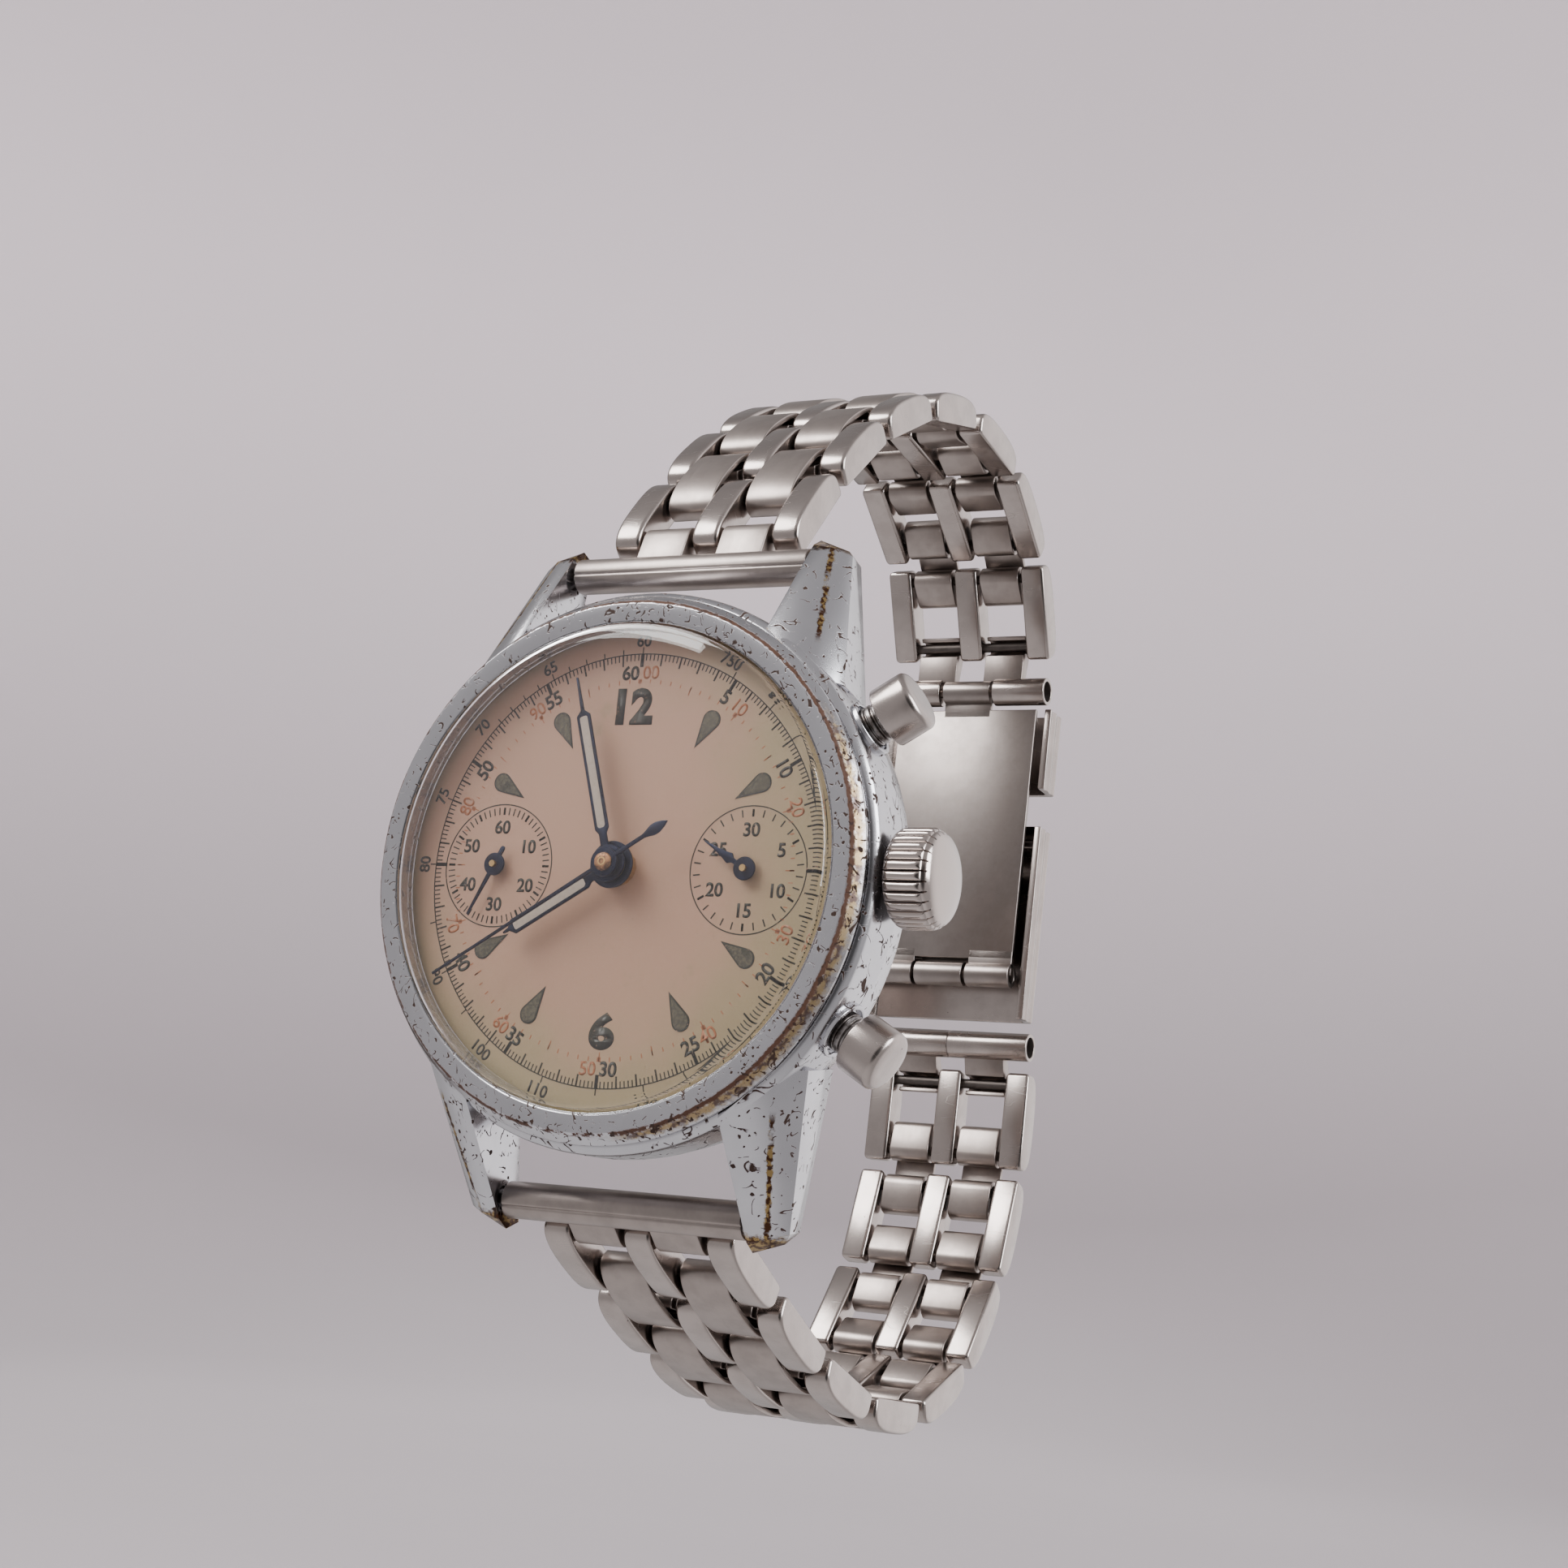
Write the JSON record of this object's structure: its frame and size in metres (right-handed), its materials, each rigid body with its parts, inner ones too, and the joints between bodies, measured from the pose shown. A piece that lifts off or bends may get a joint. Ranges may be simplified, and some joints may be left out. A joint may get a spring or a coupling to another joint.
{
  "type": "chronograph wristwatch",
  "caption": "Mechanical chronograph wristwatch with two registers, two pushers and a fluted crown, on a brick-link steel bracelet with a folding clasp.",
  "frame": {"origin": "centre of the flat of the case back", "axes": "+X to the crown at 3 o'clock, +Z to 12 o'clock, -Y out of the dial, +Y from the case back through the bracelet loop"},
  "size_m": [0.0398, 0.0627, 0.0785],
  "materials": {
    "chrome_case": "bright chrome plate over brass, worn and pitted",
    "acrylic_crystal": "clear domed acrylic",
    "dial_paint": "aged salmon and cream lacquer on a brass disc",
    "polished_steel": "polished and softly brushed steel",
    "movement_brass": "fine-brushed brass",
    "blued_steel": "heat-blued steel"
  },
  "bodies": {
    "root": {"case_body": "chrome_case", "bezel": "chrome_case", "crystal": "acrylic_crystal", "dial": "dial_paint", "case_back": "polished_steel", "main_plate": "movement_brass", "movement_bridge": "movement_brass", "spring_bar_upper": "polished_steel", "spring_bar_lower": "polished_steel"},
    "minute": {"minute_hand": "blued_steel"},
    "hour": {"hour_hand": "blued_steel", "hour_wheel": "movement_brass"},
    "chrono": {"chrono_hand": "blued_steel", "chrono_wheel": "movement_brass"},
    "seconds": {"seconds_hand": "blued_steel", "seconds_wheel": "movement_brass"},
    "counter": {"counter_hand": "blued_steel", "counter_wheel": "movement_brass"},
    "barrel": {"mainspring_barrel": "movement_brass"},
    "balance": {"balance_wheel": "movement_brass"},
    "stem": {"winding_stem": "polished_steel"},
    "crown": {"crown": "polished_steel"},
    "pusher_upper": {"pusher_upper": "polished_steel"},
    "pusher_lower": {"pusher_lower": "polished_steel"},
    "end_bar_upper": {"end_bar_upper": "polished_steel"},
    "link_upper_a1": {"link_upper_a1": "polished_steel"},
    "link_upper_b1": {"link_upper_b1": "polished_steel"},
    "link_upper_a2": {"link_upper_a2": "polished_steel"},
    "link_upper_b2": {"link_upper_b2": "polished_steel"},
    "link_upper_a3": {"link_upper_a3": "polished_steel"},
    "link_upper_b3": {"link_upper_b3": "polished_steel"},
    "link_upper_a4": {"link_upper_a4": "polished_steel"},
    "link_upper_b4": {"link_upper_b4": "polished_steel"},
    "link_upper_a5": {"link_upper_a5": "polished_steel"},
    "link_upper_b5": {"link_upper_b5": "polished_steel"},
    "link_upper_a6": {"link_upper_a6": "polished_steel"},
    "link_upper_b6": {"link_upper_b6": "polished_steel"},
    "link_upper_a7": {"link_upper_a7": "polished_steel"},
    "clasp_link_upper": {"clasp_link_upper": "polished_steel"},
    "end_bar_lower": {"end_bar_lower": "polished_steel"},
    "link_lower_a1": {"link_lower_a1": "polished_steel"},
    "link_lower_b1": {"link_lower_b1": "polished_steel"},
    "link_lower_a2": {"link_lower_a2": "polished_steel"},
    "link_lower_b2": {"link_lower_b2": "polished_steel"},
    "link_lower_a3": {"link_lower_a3": "polished_steel"},
    "link_lower_b3": {"link_lower_b3": "polished_steel"},
    "link_lower_a4": {"link_lower_a4": "polished_steel"},
    "link_lower_b4": {"link_lower_b4": "polished_steel"},
    "link_lower_a5": {"link_lower_a5": "polished_steel"},
    "link_lower_b5": {"link_lower_b5": "polished_steel"},
    "link_lower_a6": {"link_lower_a6": "polished_steel"},
    "link_lower_b6": {"link_lower_b6": "polished_steel"},
    "link_lower_a7": {"link_lower_a7": "polished_steel"},
    "link_lower_b7": {"link_lower_b7": "polished_steel"},
    "link_lower_a8": {"link_lower_a8": "polished_steel"},
    "clasp_link_lower": {"clasp_link_lower": "polished_steel"},
    "inner_fold": {"inner_blade": "polished_steel", "short_cover": "polished_steel"},
    "middle_fold": {"middle_blade": "polished_steel"},
    "cover": {"long_cover": "polished_steel"}
  },
  "joints": [
    {"name": "minute_turn", "type": "hinge", "parent": "root", "child": "minute", "pos_m": [0, -0.0076, 0], "axis": [0, 1, 0], "continuous": true},
    {"name": "hour_turn", "type": "hinge", "parent": "root", "child": "hour", "pos_m": [0, -0.0076, 0], "axis": [0, 1, 0], "continuous": true},
    {"name": "chrono_turn", "type": "hinge", "parent": "root", "child": "chrono", "pos_m": [0, -0.0076, 0], "axis": [0, 1, 0], "continuous": true},
    {"name": "seconds_turn", "type": "hinge", "parent": "root", "child": "seconds", "pos_m": [-0.00905, -0.0076, 0], "axis": [0, 1, 0], "continuous": true},
    {"name": "counter_turn", "type": "hinge", "parent": "root", "child": "counter", "pos_m": [0.00905, -0.0076, 0], "axis": [0, 1, 0], "continuous": true},
    {"name": "barrel_turn", "type": "hinge", "parent": "root", "child": "barrel", "pos_m": [-0.0055, -0.0036, 0.008], "axis": [0, 1, 0], "continuous": true},
    {"name": "balance_swing", "type": "hinge", "parent": "root", "child": "balance", "pos_m": [0.0035, -0.0036, -0.0095], "axis": [0, 1, 0], "range_deg": [-270, 270]},
    {"name": "stem_pull", "type": "slide", "parent": "root", "child": "stem", "axis": [1, 0, 0], "range_m": [0, 0.0009]},
    {"name": "crown_turn", "type": "hinge", "parent": "stem", "child": "crown", "pos_m": [0.0187, -0.0057, 0], "axis": [1, 0, 0], "continuous": true},
    {"name": "pusher_upper_press", "type": "slide", "parent": "root", "child": "pusher_upper", "axis": [-0.8572, 0, -0.515], "range_m": [0, 0.0008], "stiffness_N_per_m": 800},
    {"name": "pusher_lower_press", "type": "slide", "parent": "root", "child": "pusher_lower", "axis": [-0.8572, 0, 0.515], "range_m": [0, 0.0008], "stiffness_N_per_m": 800},
    {"name": "end_bar_upper_hinge", "type": "hinge", "parent": "root", "child": "end_bar_upper", "pos_m": [0, -0.0023, 0.021], "axis": [1, 0, 0], "range_deg": [0, 30]},
    {"name": "link_upper_a1_hinge", "type": "hinge", "parent": "end_bar_upper", "child": "link_upper_a1", "pos_m": [0, -0.0005, 0.02377], "axis": [1, 0, 0], "range_deg": [0, 7]},
    {"name": "link_upper_b1_hinge", "type": "hinge", "parent": "link_upper_a1", "child": "link_upper_b1", "pos_m": [0, 0.00326, 0.02825], "axis": [1, 0, 0], "range_deg": [0, 4]},
    {"name": "link_upper_a2_hinge", "type": "hinge", "parent": "link_upper_b1", "child": "link_upper_a2", "pos_m": [0, 0.00541, 0.03048], "axis": [1, 0, 0], "range_deg": [0, 4]},
    {"name": "link_upper_b2_hinge", "type": "hinge", "parent": "link_upper_a2", "child": "link_upper_b2", "pos_m": [0, 0.00976, 0.03439], "axis": [1, 0, 0], "range_deg": [0, 6]},
    {"name": "link_upper_a3_hinge", "type": "hinge", "parent": "link_upper_b2", "child": "link_upper_a3", "pos_m": [0, 0.01227, 0.03622], "axis": [1, 0, 0], "range_deg": [0, 6]},
    {"name": "link_upper_b3_hinge", "type": "hinge", "parent": "link_upper_a3", "child": "link_upper_b3", "pos_m": [0, 0.01733, 0.03914], "axis": [1, 0, 0], "range_deg": [0, 7.5]},
    {"name": "link_upper_a4_hinge", "type": "hinge", "parent": "link_upper_b3", "child": "link_upper_a4", "pos_m": [0, 0.0202, 0.04033], "axis": [1, 0, 0], "range_deg": [0, 7.5]},
    {"name": "link_upper_b4_hinge", "type": "hinge", "parent": "link_upper_a4", "child": "link_upper_b4", "pos_m": [0, 0.02585, 0.04184], "axis": [1, 0, 0], "range_deg": [0, 11]},
    {"name": "link_upper_a5_hinge", "type": "hinge", "parent": "link_upper_b4", "child": "link_upper_a5", "pos_m": [0, 0.02894, 0.04206], "axis": [1, 0, 0], "range_deg": [0, 11]},
    {"name": "link_upper_b5_hinge", "type": "hinge", "parent": "link_upper_a5", "child": "link_upper_b5", "pos_m": [0, 0.03475, 0.04134], "axis": [1, 0, 0], "range_deg": [0, 14]},
    {"name": "link_upper_a6_hinge", "type": "hinge", "parent": "link_upper_b5", "child": "link_upper_a6", "pos_m": [0, 0.03764, 0.04023], "axis": [1, 0, 0], "range_deg": [0, 14]},
    {"name": "link_upper_b6_hinge", "type": "hinge", "parent": "link_upper_a6", "child": "link_upper_b6", "pos_m": [0, 0.04243, 0.03688], "axis": [1, 0, 0], "range_deg": [0, 15.5]},
    {"name": "link_upper_a7_hinge", "type": "hinge", "parent": "link_upper_b6", "child": "link_upper_a7", "pos_m": [0, 0.0444, 0.03449], "axis": [1, 0, 0], "range_deg": [0, 15.5]},
    {"name": "clasp_link_upper_hinge", "type": "hinge", "parent": "link_upper_a7", "child": "clasp_link_upper", "pos_m": [0, 0.04678, 0.02914], "axis": [1, 0, 0], "range_deg": [0, 27]},
    {"name": "end_bar_lower_hinge", "type": "hinge", "parent": "root", "child": "end_bar_lower", "pos_m": [0, -0.0023, -0.021], "axis": [-1, 0, 0], "range_deg": [0, 30]},
    {"name": "link_lower_a1_hinge", "type": "hinge", "parent": "end_bar_lower", "child": "link_lower_a1", "pos_m": [0, 0.00024, -0.02241], "axis": [-1, 0, 0], "range_deg": [0, 3]},
    {"name": "link_lower_b1_hinge", "type": "hinge", "parent": "link_lower_a1", "child": "link_lower_b1", "pos_m": [0, 0.00535, -0.02524], "axis": [-1, 0, 0], "range_deg": [0, 3]},
    {"name": "link_lower_a2_hinge", "type": "hinge", "parent": "link_lower_b1", "child": "link_lower_a2", "pos_m": [0, 0.00809, -0.0267], "axis": [-1, 0, 0], "range_deg": [0, 3]},
    {"name": "link_lower_b2_hinge", "type": "hinge", "parent": "link_lower_a2", "child": "link_lower_b2", "pos_m": [0, 0.0133, -0.02935], "axis": [-1, 0, 0], "range_deg": [0, 4]},
    {"name": "link_lower_a3_hinge", "type": "hinge", "parent": "link_lower_b2", "child": "link_lower_a3", "pos_m": [0, 0.01616, -0.03056], "axis": [-1, 0, 0], "range_deg": [0, 4]},
    {"name": "link_lower_b3_hinge", "type": "hinge", "parent": "link_lower_a3", "child": "link_lower_b3", "pos_m": [0, 0.02169, -0.03247], "axis": [-1, 0, 0], "range_deg": [0, 7.5]},
    {"name": "link_lower_a4_hinge", "type": "hinge", "parent": "link_lower_b3", "child": "link_lower_a4", "pos_m": [0, 0.02473, -0.03309], "axis": [-1, 0, 0], "range_deg": [0, 7.5]},
    {"name": "link_lower_b4_hinge", "type": "hinge", "parent": "link_lower_a4", "child": "link_lower_b4", "pos_m": [0, 0.03056, -0.0335], "axis": [-1, 0, 0], "range_deg": [0, 12.5]},
    {"name": "link_lower_a5_hinge", "type": "hinge", "parent": "link_lower_b4", "child": "link_lower_a5", "pos_m": [0, 0.03363, -0.03304], "axis": [-1, 0, 0], "range_deg": [0, 12.5]},
    {"name": "link_lower_b5_hinge", "type": "hinge", "parent": "link_lower_a5", "child": "link_lower_b5", "pos_m": [0, 0.03909, -0.03094], "axis": [-1, 0, 0], "range_deg": [0, 14.5]},
    {"name": "link_lower_a6_hinge", "type": "hinge", "parent": "link_lower_b5", "child": "link_lower_a6", "pos_m": [0, 0.04161, -0.02914], "axis": [-1, 0, 0], "range_deg": [0, 14.5]},
    {"name": "link_lower_b6_hinge", "type": "hinge", "parent": "link_lower_a6", "child": "link_lower_b6", "pos_m": [0, 0.04537, -0.02466], "axis": [-1, 0, 0], "range_deg": [0, 10]},
    {"name": "link_lower_a7_hinge", "type": "hinge", "parent": "link_lower_b6", "child": "link_lower_a7", "pos_m": [0, 0.04692, -0.02197], "axis": [-1, 0, 0], "range_deg": [0, 10]},
    {"name": "link_lower_b7_hinge", "type": "hinge", "parent": "link_lower_a7", "child": "link_lower_b7", "pos_m": [0, 0.04892, -0.01648], "axis": [-1, 0, 0], "range_deg": [0, 8.5]},
    {"name": "link_lower_a8_hinge", "type": "hinge", "parent": "link_lower_b7", "child": "link_lower_a8", "pos_m": [0, 0.04954, -0.01344], "axis": [-1, 0, 0], "range_deg": [0, 8.5]},
    {"name": "clasp_link_lower_hinge", "type": "hinge", "parent": "link_lower_a8", "child": "clasp_link_lower", "pos_m": [0, 0.04985, -0.0076], "axis": [-1, 0, 0], "range_deg": [0, 21]},
    {"name": "clasp_tube_hinge", "type": "hinge", "parent": "clasp_link_upper", "child": "inner_fold", "pos_m": [0, 0.04657, 0.02515], "axis": [1, 0, 0], "range_deg": [0, 15]},
    {"name": "clasp_fold", "type": "hinge", "parent": "inner_fold", "child": "middle_fold", "pos_m": [0, 0.04535, 0.00098], "axis": [-1, 0, 0], "range_deg": [0, 115]},
    {"name": "cover_fold", "type": "hinge", "parent": "middle_fold", "child": "cover", "pos_m": [0, 0.04754, 0.01231], "axis": [1, 0, 0], "range_deg": [0, 115]}
  ],
  "couplings": [
    {"joint": "hour_turn", "follows": "minute_turn", "ratio": 0.083333},
    {"joint": "counter_turn", "follows": "chrono_turn", "ratio": 0.033333},
    {"joint": "cover_fold", "follows": "clasp_fold", "ratio": 1}
  ]
}
